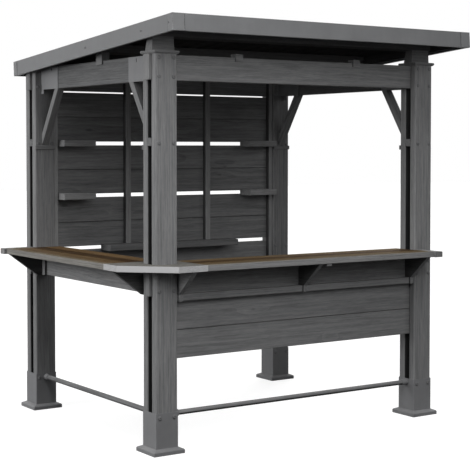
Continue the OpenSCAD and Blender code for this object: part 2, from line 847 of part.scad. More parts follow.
post_front_left();
post_front_right();
post_back_left();
post_back_right();
post_spacers();
post_shoes();
post_plinths();
post_caps();
roof_risers();
front_beam();
back_beam();
left_beam();
right_beam();
beam_end_plates();
beam_end_blocks();
roof_struts();
beam_clips();
left_knee_braces();
right_knee_braces();
brace_seats();
front_rail();
left_rail();
back_rail();
front_ledge();
front_panel();
wall_panel_lower();
wall_panel_middle();
wall_panel_upper();
wall_battens();
corner_shelves();
long_shelf();
counter_corner();
front_counter_edge();
front_counter_planks();
left_counter_edge();
left_counter_planks();
counter_ends();
front_counter_brackets();
left_counter_brackets();
left_rail_cleats();
counter_joint();
front_footrest();
left_footrest();
footrest_sockets();
front_fascia();
back_fascia();
left_fascia();
right_fascia();
fascia_corners();
roof_rafters();
roof_rails();
roof_sheet();
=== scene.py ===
import math

import bmesh
import bpy
from mathutils import Matrix, Vector


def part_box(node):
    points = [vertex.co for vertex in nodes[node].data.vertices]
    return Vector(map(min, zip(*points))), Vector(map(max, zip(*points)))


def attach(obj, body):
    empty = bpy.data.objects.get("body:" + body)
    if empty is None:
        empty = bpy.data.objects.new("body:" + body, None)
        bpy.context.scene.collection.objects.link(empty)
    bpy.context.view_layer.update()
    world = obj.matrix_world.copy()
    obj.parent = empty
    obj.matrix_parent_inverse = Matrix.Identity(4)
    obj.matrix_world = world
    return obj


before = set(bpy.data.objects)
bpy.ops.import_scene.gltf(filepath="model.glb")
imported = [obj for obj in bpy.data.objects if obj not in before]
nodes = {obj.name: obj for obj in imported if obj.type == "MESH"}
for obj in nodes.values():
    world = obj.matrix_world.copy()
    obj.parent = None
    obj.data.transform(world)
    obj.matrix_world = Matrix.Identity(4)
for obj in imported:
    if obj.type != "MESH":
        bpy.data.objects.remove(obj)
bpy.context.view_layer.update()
print("frame loaded,", len(nodes), "nodes")


def clearSelection():
    bpy.ops.object.select_all(action="DESELECT")


# Camera, fitted to the posts and feet of the photograph
cameraSetup = {
    "place": (-4.59524, -6.91187, 1.72535),
    "turn": (87.973, 0.0, -33.867),
    "lens": 98.672,
    "sensor": 36.0,
    "shift": (0.00913, -0.0887),
    "reach": 200.0,
}


def makeCamera(setup):
    turn = [math.radians(angle) for angle in setup["turn"]]
    bpy.ops.object.camera_add(location=setup["place"], rotation=turn)
    camera = bpy.context.object
    camera.name = "photoCamera"
    camera.data.lens = setup["lens"]
    camera.data.sensor_width = setup["sensor"]
    camera.data.shift_x, camera.data.shift_y = setup["shift"]
    camera.data.dof.use_dof = False
    camera.data.clip_end = setup["reach"]
    bpy.context.scene.camera = camera


makeCamera(cameraSetup)
bpy.context.scene.view_settings.view_transform = "Standard"
print("camera set")


# Node helpers
def fillSockets(tree, made, values):
    for key, value in values.items():
        if isinstance(value, bpy.types.NodeSocket):
            tree.links.new(value, made.inputs[key])
        else:
            made.inputs[key].default_value = value


def addNode(tree, kind, place, values=None, **settings):
    made = tree.nodes.new("ShaderNode" + kind)
    made.location = place
    for key, value in settings.items():
        setattr(made, key, value)
    fillSockets(tree, made, values or {})
    return made


def addMath(tree, operation, place, first, second=0.0, clamp=False):
    made = addNode(tree, "Math", place, {0: first, 1: second}, operation=operation, use_clamp=clamp)
    return made.outputs[0]


def addVector(tree, operation, place, first, second=(0.0, 0.0, 0.0)):
    return addNode(tree, "VectorMath", place, {0: first, 1: second}, operation=operation).outputs[0]


def addDot(tree, place, first, second):
    made = addNode(tree, "VectorMath", place, {0: first, 1: second}, operation="DOT_PRODUCT")
    return made.outputs["Value"]


def addRange(tree, place, value, fromMin, fromMax, toMin=0.0, toMax=1.0, smooth=False):
    kind = "SMOOTHSTEP" if smooth else "LINEAR"
    values = {"Value": value, "From Min": fromMin, "From Max": fromMax, "To Min": toMin, "To Max": toMax}
    return addNode(tree, "MapRange", place, values, interpolation_type=kind, clamp=True).outputs[0]


def addNoise(tree, place, vector, scale, detail=2.0, rough=0.5):
    values = {"Vector": vector, "Scale": scale, "Detail": detail, "Roughness": rough}
    return addNode(tree, "TexNoise", place, values).outputs


def addMix(tree, place, factor, first, second, blend="MIX"):
    values = {0: factor, 6: first, 7: second}
    return addNode(tree, "Mix", place, values, data_type="RGBA", blend_type=blend).outputs[2]


# Lays a tone over a colour, as far as a mask and its amount go
def layOver(tree, place, colour, mask, amount, tone):
    share = addMath(tree, "MULTIPLY", (place[0] - 100, place[1] - 200), mask, amount)
    return addMix(tree, place, share, colour, tone)


def paint(red, green, blue):
    return (red, green, blue, 1.0)


def grey(tone):
    return paint(tone, tone, tone)


def newGroup(name, inlets, outlets):
    tree = bpy.data.node_groups.new(name, "ShaderNodeTree")
    for label, kind in inlets:
        tree.interface.new_socket(label, in_out="INPUT", socket_type="NodeSocket" + kind)
    for label, kind in outlets:
        tree.interface.new_socket(label, in_out="OUTPUT", socket_type="NodeSocket" + kind)
    inlet = tree.nodes.new("NodeGroupInput")
    inlet.location = (-1400, 0)
    outlet = tree.nodes.new("NodeGroupOutput")
    outlet.location = (900, 0)
    return tree, inlet.outputs, outlet.inputs


def useGroup(tree, group, place, values):
    made = tree.nodes.new("ShaderNodeGroup")
    made.node_tree = group
    made.location = place
    fillSockets(tree, made, values)
    return made.outputs


def emptyMaterial(name):
    material = bpy.data.materials.new(name)
    material.use_nodes = True
    material.node_tree.nodes.clear()
    return material, material.node_tree


# Studio: wide soft suns and a few lamps, plain white behind, pale floor
# A sun stands around the object, in degrees from the front to the left, and above the ground
studio = {
    "white": grey(1.0),
    "domeLight": 0.03,
    "domeTint": paint(0.98, 0.99, 1.0),
    "horizon": (-0.04, 0.08),  # the dome's light comes up between these heights
    "floorSize": 80.0,
    "floorTone": grey(0.3),  # the floor that is seen, with its glow
    "floorGlow": 0.8,
    "floorBounce": grey(0.03),  # the floor that throws light back
    "sunSpread": 28.0,
    "suns": {
        "leftSun": {"around": 93.0, "above": 14.0, "power": 1.02},
        "leftHighSun": {"around": 95.0, "above": 42.0, "power": 0.35},
        "backLeftSun": {"around": 150.0, "above": 10.0, "power": 0.4},
        "frontHighSun": {"around": 25.0, "above": 65.0, "power": 1.42},
        "frontRightSun": {"around": -30.0, "above": 22.0, "power": 0.35},
        "backSun": {"around": 182.0, "above": 12.0, "power": 0.8},
        "backRightSun": {"around": 225.0, "above": 50.0, "power": 1.5},
        "rightSun": {"around": 262.0, "above": 8.0, "power": 1.1},
    },
    "lamps": {
        "leftLamp": {
            "place": (-4.9, 0.85, 2.2), "aim": (-0.9, -0.2, 1.1), "size": 1.4, "power": 84.0,
        },
        "cornerLamp": {
            "place": (-1.9, -3.47, 3.0), "aim": (-0.9, -0.7, 1.3), "size": 2.0, "power": 48.0,
        },
        "frontHighLamp": {
            "place": (-0.2, -4.43, 4.59), "aim": (-0.2, -0.1, 1.2), "size": 3.0, "power": 39.0,
        },
        "frontLowLamp": {
            "place": (-0.2, -5.48, 2.34), "aim": (-0.2, -0.1, 1.2), "size": 3.0, "power": 35.0,
        },
    },
}


# 1 where the camera looks, straight or by a reflection, and 0 for the light that falls on the object
def seenByCamera(tree, place):
    across, up = place
    rays = addNode(tree, "LightPath", place).outputs
    seen = addMath(tree, "ADD", (across + 200, up), rays["Is Camera Ray"], rays["Is Glossy Ray"])
    return addMath(tree, "ADD", (across + 400, up), seen, rays["Is Transmission Ray"], clamp=True)


def makeWorld(setup):
    world = bpy.data.worlds.new("studioWorld")
    bpy.context.scene.world = world
    world.use_nodes = True
    tree = world.node_tree
    tree.nodes.clear()
    coords = addNode(tree, "TexCoord", (-900, 0))
    split = addNode(tree, "SeparateXYZ", (-700, 0), {0: coords.outputs["Generated"]})
    level = addRange(tree, (-500, 0), split.outputs["Z"], *setup["horizon"], 0.0, setup["domeLight"])
    dome = addNode(tree, "Background", (-250, 0), {"Color": setup["domeTint"], "Strength": level})
    backdrop = addNode(tree, "Background", (-250, -160), {"Color": setup["white"], "Strength": 1.0})
    seen = seenByCamera(tree, (-700, 300))
    mix = addNode(tree, "MixShader", (0, 0), {0: seen, 1: dome.outputs[0], 2: backdrop.outputs[0]})
    addNode(tree, "OutputWorld", (200, 0), {"Surface": mix.outputs[0]})


def makeSuns(setup):
    for name, sun in setup["suns"].items():
        around, above = math.radians(sun["around"]), math.radians(sun["above"])
        flat = math.cos(above)
        shine = Vector((flat * math.sin(around), flat * math.cos(around), -math.sin(above)))
        bpy.ops.object.light_add(type="SUN", rotation=shine.to_track_quat("-Z", "Y").to_euler())
        made = bpy.context.object
        made.name = name
        made.data.angle = math.radians(setup["sunSpread"])
        made.data.energy = sun["power"]
        made.visible_camera = False


def makeLamps(setup):
    for name, lamp in setup["lamps"].items():
        aim = Vector(lamp["aim"]) - Vector(lamp["place"])
        turn = aim.to_track_quat("-Z", "Y").to_euler()
        bpy.ops.object.light_add(type="AREA", location=lamp["place"], rotation=turn)
        made = bpy.context.object
        made.name = name
        made.data.shape = "DISK"
        made.data.size = lamp["size"]
        made.data.energy = lamp["power"]
        made.visible_camera = False


def makeFloor(setup):
    clearSelection()
    bpy.ops.mesh.primitive_plane_add(size=setup["floorSize"], location=(0, 0, 0))
    floor = bpy.context.object
    floor.name = "paleFloor"
    material, tree = emptyMaterial("paleFloor")
    bounce = addNode(tree, "BsdfDiffuse", (-300, 200), {"Color": setup["floorBounce"]})
    shown = addNode(tree, "BsdfDiffuse", (-500, 0), {"Color": setup["floorTone"]})
    shine = {"Color": setup["white"], "Strength": setup["floorGlow"]}
    glow = addNode(tree, "Emission", (-500, -160), shine)
    both = addNode(tree, "AddShader", (-300, 0), {0: shown.outputs[0], 1: glow.outputs[0]})
    seen = seenByCamera(tree, (-700, 400))
    mix = addNode(tree, "MixShader", (0, 0), {0: seen, 1: bounce.outputs[0], 2: both.outputs[0]})
    addNode(tree, "OutputMaterial", (200, 0), {"Surface": mix.outputs[0]})
    floor.data.materials.append(material)


makeWorld(studio)
makeSuns(studio)
makeLamps(studio)
makeFloor(studio)
print("studio ready")


# Sawn timber with its grain along X, in metres: streaks, fibres and rings, and a few oval knots
# A noise is given by its scale, detail and roughness, and a pair is where a mask starts and is full
grainSetup = {
    "stretch": (0.045, 1.0, 1.0),
    "knotSpace": (2.4, 6.0, 6.0),
    "knotShare": (0.42, 0.44),
    "knotCore": (0.085, 0.035),
    "knotReach": (0.4, 0.03),
    "knotPull": (0.0, 0.07, 0.07),
    "sway": 7.0,
    "swayReach": (0.0, 0.016, 0.016),
    "streak": (80.0, 4.0, 0.6),
    "fibre": (430.0, 2.0, 0.6),
    "rings": {"Scale": 34.0, "Distortion": 3.0, "Detail": 2.0, "Detail Scale": 0.25},
    "noiseRange": (0.3, 0.7),
    "streakTone": 0.3,
    "fibreTone": 0.2,
    "ringTone": 0.12,
    "middleTone": 0.5,
}
half = (0.5, 0.5, 0.5)


def buildWoodGrain(setup):
    tree, given, result = newGroup(
        "woodGrain",
        [("Vector", "Vector")],
        [("Tone", "Float"), ("Knots", "Float"), ("Height", "Float")],
    )
    place = given["Vector"]
    slow = addVector(tree, "MULTIPLY", (-1200, 300), place, setup["stretch"])

    # Knots in some cells of a coarse pattern, and the pull that bends the fibres round them
    knotSpace = addVector(tree, "MULTIPLY", (-1200, -200), place, setup["knotSpace"])
    cell = addNode(tree, "TexVoronoi", (-1000, -200), {"Vector": knotSpace, "Scale": 1.0}).outputs
    dice = addNode(tree, "SeparateColor", (-800, -400), {0: cell["Color"]})
    kept = addRange(tree, (-600, -400), dice.outputs[0], *setup["knotShare"])
    core = addRange(tree, (-600, -200), cell["Distance"], *setup["knotCore"], smooth=True)
    around = addRange(tree, (-600, 0), cell["Distance"], *setup["knotReach"], smooth=True)
    knots = addMath(tree, "MULTIPLY", (-400, -200), core, kept)
    pull = addMath(tree, "MULTIPLY", (-400, 0), around, kept)
    toKnot = addVector(tree, "SUBTRACT", (-800, 100), cell["Position"], knotSpace)
    toKnot = addVector(tree, "MULTIPLY", (-600, 150), toKnot, setup["knotPull"])
    bend = addNode(tree, "VectorMath", (-250, 100), {0: toKnot, "Scale": pull}, operation="SCALE")

    # The line of the fibres, swaying slowly along the board
    sway = addNoise(tree, (-1000, 500), slow, setup["sway"])
    drift = addVector(tree, "SUBTRACT", (-800, 500), sway["Color"], half)
    drift = addVector(tree, "MULTIPLY", (-600, 500), drift, setup["swayReach"])
    line = addVector(tree, "ADD", (-250, 300), slow, drift)
    line = addVector(tree, "ADD", (-100, 300), line, bend.outputs[0])

    streak = addNoise(tree, (100, 500), line, *setup["streak"])
    fibre = addNoise(tree, (100, 200), line, *setup["fibre"])
    rings = addNode(
        tree, "TexWave", (100, -100), {"Vector": line, **setup["rings"]},
        wave_type="RINGS", rings_direction="X", wave_profile="SAW",
    )
    low, high = setup["noiseRange"]
    streakTone, fibreTone, ringTone = setup["streakTone"], setup["fibreTone"], setup["ringTone"]
    streaks = addRange(tree, (300, 500), streak[0], low, high, -streakTone, streakTone)
    fibres = addRange(tree, (300, 200), fibre[0], low, high, -fibreTone, fibreTone)
    ringed = addRange(tree, (300, -100), rings.outputs["Fac"], 0.0, 1.0, ringTone, -ringTone)
    tone = addMath(tree, "ADD", (500, 400), streaks, fibres)
    tone = addMath(tree, "ADD", (500, 200), tone, ringed)
    tone = addMath(tree, "ADD", (650, 300), tone, setup["middleTone"], clamp=True)
    height = addMath(tree, "ADD", (500, -100), fibres, ringed)
    height = addMath(tree, "SUBTRACT", (650, -100), height, knots)
    tree.links.new(tone, result["Tone"])
    tree.links.new(knots, result["Knots"])
    tree.links.new(height, result["Height"])
    return tree


# Which board a point lies in: one tone for each board, and the place within it
def buildBoardCells():
    tree, given, result = newGroup(
        "boardCells",
        [("Position", "Vector"), ("Origin", "Vector"), ("Pitch", "Vector"), ("Shove", "Vector")],
        [("Tone", "Float"), ("Cell", "Vector"), ("Local", "Vector")],
    )
    start = addVector(tree, "SUBTRACT", (-1000, 0), given["Position"], given["Origin"])
    count = addVector(tree, "DIVIDE", (-800, 0), start, given["Pitch"])
    cell = addVector(tree, "FLOOR", (-600, 0), count)
    middle = addVector(tree, "ADD", (-400, 0), cell, half)
    centre = addVector(tree, "MULTIPLY", (-200, -200), middle, given["Pitch"])
    local = addVector(tree, "SUBTRACT", (0, -200), start, centre)
    dice = addNode(tree, "TexWhiteNoise", (-200, 200), {"Vector": middle}, noise_dimensions="3D")
    shove = addVector(tree, "MULTIPLY", (0, 200), dice.outputs["Color"], given["Shove"])
    tree.links.new(dice.outputs["Value"], result["Tone"])
    tree.links.new(cell, result["Cell"])
    tree.links.new(addVector(tree, "ADD", (200, 0), local, shove), result["Local"])
    return tree


# Rounded edges for the light, and where the stain has rubbed off them
wearSetup = {"samples": 6, "turn": (0.985, 0.86), "rub": (26.0, 5.0, 0.7), "rubRange": (0.4, 0.68)}


def buildEdgeWear(setup):
    tree, given, result = newGroup(
        "edgeWear",
        [("Position", "Vector"), ("Radius", "Float")],
        [("Wear", "Float"), ("Normal", "Vector")],
    )
    bevel = addNode(tree, "Bevel", (-600, 100), {"Radius": given["Radius"]}, samples=setup["samples"])
    plain = addNode(tree, "NewGeometry", (-600, -100))
    turn = addDot(tree, (-400, 0), bevel.outputs[0], plain.outputs["Normal"])
    edge = addRange(tree, (-200, 0), turn, *setup["turn"])
    rub = addNoise(tree, (-400, -300), given["Position"], *setup["rub"])
    rubbed = addRange(tree, (-200, -300), rub[0], *setup["rubRange"])
    wear = addMath(tree, "MULTIPLY", (0, 0), edge, rubbed, clamp=True)
    tree.links.new(wear, result["Wear"])
    tree.links.new(bevel.outputs[0], result["Normal"])
    return tree


# Faint clouds, run marks and skin of a coated sheet
coatingSetup = {
    "cloud": (5.0, 4.0, 0.6),
    "cloudRange": (0.3, 0.7),
    "runSpace": (34.0, 34.0, 2.2),
    "run": (1.0, 3.0),
    "runRange": (0.45, 0.75),
    "skin": (420.0, 2.0),
}


def buildCoating(setup):
    tree, given, result = newGroup(
        "coating",
        [("Position", "Vector")],
        [("Cloud", "Float"), ("Runs", "Float"), ("Height", "Float")],
    )
    place = given["Position"]
    cloud = addNoise(tree, (-600, 200), place, *setup["cloud"])
    runSpace = addVector(tree, "MULTIPLY", (-800, -50), place, setup["runSpace"])
    runs = addNoise(tree, (-600, -50), runSpace, *setup["run"])
    skin = addNoise(tree, (-600, -300), place, *setup["skin"])
    tree.links.new(addRange(tree, (-300, 200), cloud[0], *setup["cloudRange"]), result["Cloud"])
    tree.links.new(addRange(tree, (-300, -50), runs[0], *setup["runRange"]), result["Runs"])
    tree.links.new(skin[0], result["Height"])
    return tree


# Where a face is level, and the dust that settles there
dustSetup = {"level": (0.55, 0.95), "drift": (9.0, 6.0, 0.65), "driftRange": (0.36, 0.72)}


def buildDust(setup):
    tree, given, result = newGroup(
        "dust",
        [("Position", "Vector")],
        [("Dust", "Float"), ("Level", "Float")],
    )
    face = addNode(tree, "NewGeometry", (-600, 100))
    split = addNode(tree, "SeparateXYZ", (-400, 100), {0: face.outputs["Normal"]})
    level = addRange(tree, (-200, 100), split.outputs["Z"], *setup["level"])
    drift = addNoise(tree, (-600, -150), given["Position"], *setup["drift"])
    lain = addRange(tree, (-200, -150), drift[0], *setup["driftRange"])
    tree.links.new(addMath(tree, "MULTIPLY", (0, 0), level, lain), result["Dust"])
    tree.links.new(level, result["Level"])
    return tree


woodGrain = buildWoodGrain(grainSetup)
boardCells = buildBoardCells()
edgeWear = buildEdgeWear(wearSetup)
coating = buildCoating(coatingSetup)
dust = buildDust(dustSetup)
print("effects built")

# How the grain lies for each run of a board: its turn, its axis, and how far one board's grain is shoved
quarterTurn = math.pi / 2
halfRoot = math.sqrt(0.5)
shoveAlong, shoveAcross = 3.0, 0.12
grainTurn = {
    "X": (0.0, 0.0, 0.0),
    "Y": (0.0, 0.0, -quarterTurn),
    "Z": (0.0, quarterTurn, 0.0),
    "XY": (0.0, 0.0, -quarterTurn / 2),
}
grainAxis = {
    "X": (1.0, 0.0, 0.0),
    "Y": (0.0, 1.0, 0.0),
    "Z": (0.0, 0.0, 1.0),
    "XY": (halfRoot, halfRoot, 0.0),
}
grainShove = {
    "X": (shoveAlong, shoveAcross, shoveAcross),
    "Y": (shoveAcross, shoveAlong, shoveAcross),
    "Z": (shoveAcross, shoveAcross, shoveAlong),
    "XY": (shoveAlong, shoveAlong, shoveAcross),
}

# How far a face turns to count as the end of a board or as an underside, which gets painted shade
facing = {"end": (0.9, 0.97), "under": (0.05, 0.35)}
downward = (0.0, 0.0, -1.0)


def startMaterial(name):
    material, tree = emptyMaterial(name)
    coords = addNode(tree, "TexCoord", (-1800, 0))
    shader = addNode(tree, "BsdfPrincipled", (700, 0))
    addNode(tree, "OutputMaterial", (1000, 0), {"Surface": shader.outputs[0]})
    return material, tree, coords.outputs["Object"], shader


# The last links, alike for timber and metal; a rough spread below 0 makes the light parts smoother
def finishShader(tree, shader, look, colour, tone, height, normal):
    tree.links.new(colour, shader.inputs["Base Color"])
    roughDark, roughLight = look["rough"] - look["roughSpread"], look["rough"] + look["roughSpread"]
    rough = addRange(tree, (200, 0), tone, 0.0, 1.0, roughDark, roughLight)
    tree.links.new(rough, shader.inputs["Roughness"])
    shader.inputs["Specular IOR Level"].default_value = look["gloss"]
    relief = {"Strength": look["relief"], "Distance": look["depth"], "Height": height, "Normal": normal}
    bump = addNode(tree, "Bump", (400, -300), relief)
    tree.links.new(bump.outputs[0], shader.inputs["Normal"])


# The same place on both sides of a middle plane across Y, so that a mirrored pair has mirrored grain
def foldAcross(tree, place, middle):
    split = addNode(tree, "SeparateXYZ", (-1700, -300), {0: place}).outputs
    away = addMath(tree, "SUBTRACT", (-1600, -300), split["Y"], middle)
    away = addMath(tree, "ABSOLUTE", (-1500, -300), away)
    folded = addNode(tree, "CombineXYZ", (-1450, -300), {0: split["X"], 1: away, 2: split["Z"]})
    return folded.outputs[0]


# One tint for each plank or bracket, counted across the piece: the planks' own colours, and painted light
# and painted shade on the brackets
def boardTint(tree, cell, across, tints):
    split = addNode(tree, "SeparateXYZ", (-1100, 500), {0: cell})
    share = addMath(tree, "ADD", (-950, 500), split.outputs[across], 0.5)
    share = addMath(tree, "DIVIDE", (-800, 500), share, len(tints))
    ramp = addNode(tree, "ValToRGB", (-650, 500), {0: share})
    ramp.color_ramp.interpolation = "CONSTANT"
    while len(ramp.color_ramp.elements) < len(tints):
        ramp.color_ramp.elements.new(1.0)
    for index, tint in enumerate(tints):
        ramp.color_ramp.elements[index].position = index / len(tints)
        ramp.color_ramp.elements[index].color = tint
    return ramp.outputs[0]


# Distance across one axis from the nearer of two lines that lie evenly about a middle
def nearLine(tree, place, axis, line):
    split = addNode(tree, "SeparateXYZ", (-1500, -900), {0: place})
    away = addMath(tree, "SUBTRACT", (-1300, -900), split.outputs[axis], line["middle"])
    away = addMath(tree, "ABSOLUTE", (-1150, -900), away)
    away = addMath(tree, "SUBTRACT", (-1000, -900), away, line["half"])
    return addMath(tree, "ABSOLUTE", (-850, -900), away)


# Painted shade: the faces inside the slots of the posts are darkened, as little light gets in
def slotPaintedShade(tree, place, slot):
    away = nearLine(tree, place, "Y", slot)
    reach = slot["reach"]
    return addRange(tree, (-700, -900), away, reach, reach - slot["fade"], 0.0, slot["amount"])


# Dark joint lines beside the corner angles of the roof, partly painted shade where the angles stand proud
# of the fascias
def capSeamsAndShade(tree, place, seamsAndShade):
    masks = []
    for axis, line in seamsAndShade["lines"].items():
        away = nearLine(tree, place, axis, line)
        masks.append(addRange(tree, (-700, -900), away, seamsAndShade["reach"], 0.0, 0.0, line["amount"]))
    return addMath(tree, "MAXIMUM", (-500, -900), masks[0], masks[1])


# Stained timber: grain along one axis, its own tone and grain for each board
def makeTimber(name, look):
    material, tree, place, shader = startMaterial(name)
    along = look["along"]
    cells = {
        "Position": foldAcross(tree, place, look["fold"]) if "fold" in look else place,
        "Origin": look["origin"],
        "Pitch": look["pitch"],
        "Shove": grainShove[along],
    }
    board = useGroup(tree, boardCells, (-1400, 0), cells)
    laid = {"Vector": board["Local"], "Rotation": look.get("turn", grainTurn[along])}
    turned = addNode(tree, "Mapping", (-1200, 0), laid)
    grain = useGroup(tree, woodGrain, (-1000, 0), {"Vector": turned.outputs[0]})
    wear = useGroup(tree, edgeWear, (-1000, -300), {"Position": place, "Radius": look["edge"]})
    lain = useGroup(tree, dust, (-1000, -500), {"Position": place})
    normal = addNode(tree, "NewGeometry", (-1000, -700)).outputs["Normal"]
    ends = addDot(tree, (-850, -700), normal, look.get("endAxis", grainAxis[along]))
    ends = addMath(tree, "ABSOLUTE", (-700, -700), ends)
    ends = addRange(tree, (-550, -700), ends, *facing["end"])

    colour = addMix(tree, (-600, 300), grain["Tone"], look["dark"], look["light"])
    # Plank tints are their own colours; on the front brackets the tints are painted light and painted shade
    if "tints" in look:
        share = ends if "endAxis" in look else 1.0
        tint = boardTint(tree, board["Cell"], look["across"], look["tints"])
        colour = addMix(tree, (-500, 450), share, colour, tint, "MULTIPLY")
    spread = look["spread"]
    level = addRange(tree, (-600, -300), board["Tone"], 0.0, 1.0, 1.0 - spread, 1.0 + spread)
    level = addNode(tree, "CombineColor", (-400, -300), {0: level, 1: level, 2: level})
    colour = addMix(tree, (-400, 300), 1.0, colour, level.outputs[0], "MULTIPLY")
    colour = layOver(tree, (-200, 300), colour, grain["Knots"], look["knots"], look["knotTone"])
    colour = layOver(tree, (0, 300), colour, ends, look["ends"], look["endTone"])
    # Level tops made browner and darker: partly their stain, partly painted shade
    if "topTintAndShade" in look:
        colour = addMix(tree, (100, 450), lain["Level"], colour, look["topTintAndShade"], "MULTIPLY")
    colour = layOver(tree, (200, 300), colour, wear["Wear"], look["wear"], look["bare"])
    colour = layOver(tree, (400, 300), colour, lain["Dust"], look["dust"], look["dustTone"])
    # Painted shade on the faces inside the slots of the posts
    if "slot" in look:
        colour = addMix(tree, (500, 450), slotPaintedShade(tree, place, look["slot"]), colour, look["paintedShadeTone"])
    # Painted shade on the faces that look down
    if "under" in look:
        below = addDot(tree, (300, 600), normal, downward)
        below = addRange(tree, (450, 600), below, *facing["under"], 0.0, look["under"])
        colour = addMix(tree, (600, 600), below, colour, look["paintedShadeTone"])
    finishShader(tree, shader, look, colour, grain["Tone"], grain["Height"], wear["Normal"])
    return material


# Coated metal: clouds, run marks, rubbed edges and a little dust
def makeMetal(name, look):
    material, tree, place, shader = startMaterial(name)
    skin = useGroup(tree, coating, (-900, 0), {"Position": place})
    wear = useGroup(tree, edgeWear, (-900, -300), {"Position": place, "Radius": look["edge"]})
    lain = useGroup(tree, dust, (-900, -500), {"Position": place})
    colour = addMix(tree, (-500, 300), skin["Cloud"], look["dark"], look["light"])
    colour = layOver(tree, (-300, 300), colour, skin["Runs"], look["runs"], look["runTone"])
    colour = layOver(tree, (-100, 300), colour, wear["Wear"], look["wear"], look["bare"])
    colour = layOver(tree, (100, 300), colour, lain["Dust"], look["dust"], look["dustTone"])
    # Dark joint lines at the corner angles, partly painted shade
    if "seamsAndShade" in look:
        colour = addMix(tree, (300, 450), capSeamsAndShade(tree, place, look["seamsAndShade"]), colour, look["seamAndShadeTone"])
    finishShader(tree, shader, look, colour, skin["Cloud"], skin["Height"], wear["Normal"])
    return material


# A step as long as wholeLength, from farSide, makes one board of a piece along that axis
wholeLength = 50.0
farSide = -wholeLength / 2
oneBoard = {
    "origin": (farSide, farSide, farSide),
    "pitch": (wholeLength, wholeLength, wholeLength),
}

# Looks of the timbers
greyStain = dict(
    oneBoard,
    dark=paint(0.106, 0.107, 0.109),
    light=paint(0.22, 0.221, 0.223),
    knotTone=paint(0.062, 0.062, 0.063),
    endTone=paint(0.062, 0.062, 0.063),
    # near-black tone of the painted shade in the slots and under the bars
    paintedShadeTone=grey(0.012),
    bare=grey(0.3),
    dustTone=paint(0.21, 0.2, 0.19),
    spread=0.07,
    knots=0.6,
    ends=0.3,
    wear=0.5,
    dust=0.12,
    edge=0.003,
    rough=0.78,
    roughSpread=-0.08,
    gloss=0.03,
    relief=0.3,
    depth=0.0012,
)
postStain = dict(greyStain, wear=0.9, edge=0.004)
borderStain = dict(greyStain, dark=grey(0.115), light=grey(0.245), bare=grey(0.32), spread=0.04)
# The front and left borders' level tops are browner and darker: partly their stain, partly painted shade
frontBorderStain = dict(borderStain, topTintAndShade=paint(0.64, 0.57, 0.45))
leftBorderStain = dict(
    borderStain,
    dark=paint(0.106, 0.102, 0.095),
    light=paint(0.228, 0.22, 0.205),
    topTintAndShade=paint(0.58, 0.48, 0.34),
)
# The counter's corner: its clipped face, counted as an end across XY, is painted light as a painted
# highlight, and its level top is darkened, partly painted shade
cornerStainLitAndShaded = dict(
    borderStain,
    dark=paint(0.28, 0.28, 0.283),
    light=paint(0.42, 0.42, 0.424),
    bare=grey(0.42),
    endTone=paint(0.4, 0.4, 0.405),
    topTintAndShade=paint(0.33, 0.32, 0.29),
    knots=0.4,
    ends=0.9,
    wear=0.2,
)
wallStain = dict(
    greyStain,
    dark=paint(0.094, 0.095, 0.097),
    light=paint(0.21, 0.211, 0.213),
    wear=0.3,
    spread=0.08,
)
shelfStain = dict(wallStain, dark=paint(0.085, 0.086, 0.087), light=paint(0.165, 0.166, 0.168))
cornerShelfStain = dict(wallStain, dark=paint(0.14, 0.141, 0.143), light=paint(0.25, 0.251, 0.253))
# The beams are darker than the posts: painted shade from the fascias above them
shadedBeamStain = dict(greyStain, dark=paint(0.068, 0.069, 0.071), light=paint(0.144, 0.145, 0.147))
# The battens' side faces across X are painted near-black as painted shade, and their fronts are lighter
# than the wall
battenStainAndShade = dict(
    wallStain,
    dark=paint(0.14, 0.141, 0.143),
    light=paint(0.27, 0.271, 0.273),
    endTone=paint(0.035, 0.035, 0.036),
    ends=0.85,
    endAxis=grainAxis["X"],
)
# The left brackets are painted dark: painted shade under the counter
shadedBracketStain = dict(greyStain, dark=paint(0.054, 0.055, 0.056), light=paint(0.122, 0.123, 0.124))
panelStain = dict(wallStain, dark=paint(0.112, 0.113, 0.115), light=paint(0.222, 0.223, 0.225))
plankStain = dict(
    greyStain,
    dark=paint(0.045, 0.0285, 0.0145),
    light=paint(0.158, 0.107, 0.058),
    knotTone=paint(0.03, 0.017, 0.008),
    endTone=paint(0.05, 0.032, 0.018),
    bare=paint(0.26, 0.19, 0.12),
    dustTone=paint(0.16, 0.13, 0.095),
    rough=0.7,
    spread=0.05,
)
roofStain = dict(
    greyStain,
    dark=paint(0.04, 0.04, 0.041),
    light=paint(0.078, 0.078, 0.08),
    bare=grey(0.09),
    gloss=0.0,
    dust=0.0,
)
railStain = dict(roofStain, dark=paint(0.07, 0.07, 0.072), light=paint(0.125, 0.125, 0.127))

# Looks of the metals
coverPaint = dict(
    dark=paint(0.143, 0.144, 0.148),
    light=paint(0.17, 0.172, 0.177),
    runTone=paint(0.11, 0.11, 0.112),
    bare=paint(0.27, 0.27, 0.275),
    dustTone=paint(0.28, 0.275, 0.265),
    # dark tone of the joint lines, partly painted shade
    seamAndShadeTone=paint(0.03, 0.03, 0.031),
    runs=0.12,
    wear=0.4,
    dust=0.2,
    edge=0.002,
    rough=0.55,
    roughSpread=0.06,
    gloss=0.07,
    relief=0.06,
    depth=0.0006,
)
roofPaint = dict(coverPaint, dark=paint(0.132, 0.134, 0.137), light=paint(0.155, 0.157, 0.161))
